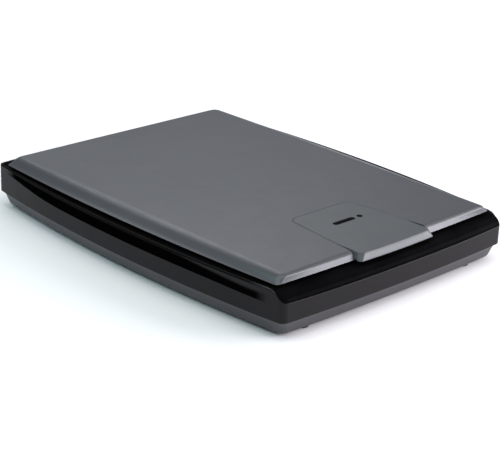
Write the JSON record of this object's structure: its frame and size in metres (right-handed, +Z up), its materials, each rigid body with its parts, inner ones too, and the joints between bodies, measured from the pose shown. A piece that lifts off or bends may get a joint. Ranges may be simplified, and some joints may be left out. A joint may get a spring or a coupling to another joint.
{
  "type": "flatbed scanner",
  "caption": "Slim A4 flatbed scanner with a hinged grey lid, grip tab, glass bed and a belt-driven contact sensor carriage.",
  "frame": {"origin": "middle of the body's footprint, on the table under the feet", "axes": "+Y to the rear where the lid is hinged, +Z up, +X to the right seen from the front"},
  "size_m": [0.28, 0.371, 0.0478],
  "materials": {
    "lid_silver": "satin metallic paint",
    "tab_silver": "satin metallic paint",
    "casing_charcoal": "dark metallic lacquer",
    "bezel_black": "piano black",
    "tray_grey": "satin metallic paint",
    "bed_glass": "clear float glass",
    "trim_black": "foam tape",
    "strip_white": "matte white",
    "rubber_dark": "matte",
    "steel": "drawn and polished",
    "plated_steel": "zinc plated",
    "inner_black": "fine moulded texture",
    "nylon_white": "moulded acetal",
    "bronze": "machined",
    "belt_rubber": "matte",
    "board_green": "solder mask",
    "chip_black": "moulded epoxy",
    "socket_shell": "plated",
    "ribbon_white": "film",
    "sensor_black": "glass-filled, matte",
    "sensor_glass": "clear",
    "lens_grey": "lens array",
    "guide_clear": "clear acrylic",
    "liner_dark": "fine moulded texture",
    "foam_grey": "soft open-cell foam",
    "mat_white": "matte white film"
  },
  "bodies": {
    "base": {"bottom_tray": "tray_grey", "side_casing": "casing_charcoal", "platen_bezel": "bezel_black", "platen_glass": "bed_glass", "glass_gasket": "trim_black", "reference_strip": "strip_white", "rubber_feet": "rubber_dark", "case_screws": "steel", "guide_rod": "steel", "rod_clips": "inner_black", "slide_rail": "nylon_white", "hinge_sleeves": "inner_black", "motor_bracket": "plated_steel", "stepper_motor": "plated_steel", "gear_shaft": "steel", "drive_belt": "belt_rubber", "idler_bracket": "plated_steel", "idler_shaft": "steel", "tension_spring": "steel", "main_board": "board_green", "board_parts": "chip_black", "board_screws": "steel", "usb_socket": "socket_shell", "home_sensor": "inner_black", "ribbon_fixed": "ribbon_white"},
    "carriage": {"carriage_frame": "inner_black", "rod_bush": "bronze", "slider_shoe": "nylon_white", "belt_clamp": "inner_black", "sensor_housing": "sensor_black", "sensor_board": "board_green", "sensor_window": "sensor_glass", "rod_lens": "lens_grey", "light_guide": "guide_clear", "lift_springs": "steel", "glass_spacers": "nylon_white", "ribbon_moving": "ribbon_white"},
    "drive_gear": {"drive_gear": "nylon_white"},
    "motor_rotor": {"motor_pinion": "bronze", "motor_shaft": "steel"},
    "idler": {"idler_pulley": "nylon_white"},
    "hinge_legs": {"hinge_legs": "inner_black", "hinge_pins": "steel"},
    "lid": {"lid_cover": "lid_silver", "lid_tab": "tab_silver", "lid_liner": "liner_dark", "foam_pad": "foam_grey", "white_mat": "mat_white", "lid_brackets": "inner_black", "lid_screws": "steel", "lid_bumpers": "rubber_dark"}
  },
  "joints": [
    {"name": "carriage_travel", "type": "slide", "parent": "base", "child": "carriage", "axis": [0, -1, 0], "range_m": [0, 0.306], "deforming": ["ribbon_moving"]},
    {"name": "drive_gear_spin", "type": "hinge", "parent": "base", "child": "drive_gear", "pos_m": [-0.117, 0.1665, 0.0145], "axis": [1, 0, 0], "range_deg": [0, 3900]},
    {"name": "motor_spin", "type": "hinge", "parent": "base", "child": "motor_rotor", "pos_m": [-0.113, 0.1675, 0.02646], "axis": [1, 0, 0], "range_deg": [-7800, 0]},
    {"name": "idler_spin", "type": "hinge", "parent": "base", "child": "idler", "pos_m": [-0.117, -0.172, 0.0145], "axis": [1, 0, 0], "range_deg": [0, 3900]},
    {"name": "hinge_lift", "type": "slide", "parent": "base", "child": "hinge_legs", "axis": [0, 0, 1], "range_m": [0, 0.012]},
    {"name": "lid_open", "type": "hinge", "parent": "hinge_legs", "child": "lid", "pos_m": [0, 0.1685, 0.0426], "axis": [-1, 0, 0], "range_deg": [0, 85]}
  ],
  "couplings": [
    {"joint": "drive_gear_spin", "follows": "carriage_travel", "rad_per_m": 222.22},
    {"joint": "idler_spin", "follows": "carriage_travel", "rad_per_m": 222.22},
    {"joint": "motor_spin", "follows": "carriage_travel", "rad_per_m": -444.44}
  ]
}
